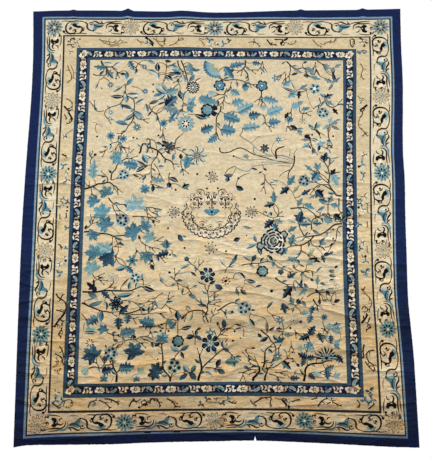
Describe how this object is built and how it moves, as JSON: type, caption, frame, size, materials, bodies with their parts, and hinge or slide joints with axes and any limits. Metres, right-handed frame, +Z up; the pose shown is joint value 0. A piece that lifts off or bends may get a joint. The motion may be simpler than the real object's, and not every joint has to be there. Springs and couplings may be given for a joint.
{
  "type": "chinese rug",
  "caption": "Room-sized Chinese carpet of knotted wool pile, lying flat, with a plain dark edge, scroll and flower borders and a field of flowering sprays.",
  "frame": {"origin": "centre of the outline on the floor, under the rug", "axes": "+Z up from the floor through the pile, +Y along the length towards the end with the small peaks, +X to the right across the width"},
  "size_m": [2.7518, 3.2212, 0.0144],
  "materials": {
    "wool_pile": "short clipped wool pile, matt with a faint sheen, ivory-beige and indigo blues"
  },
  "bodies": {
    "root": {"rug": "wool_pile"}
  },
  "joints": []
}
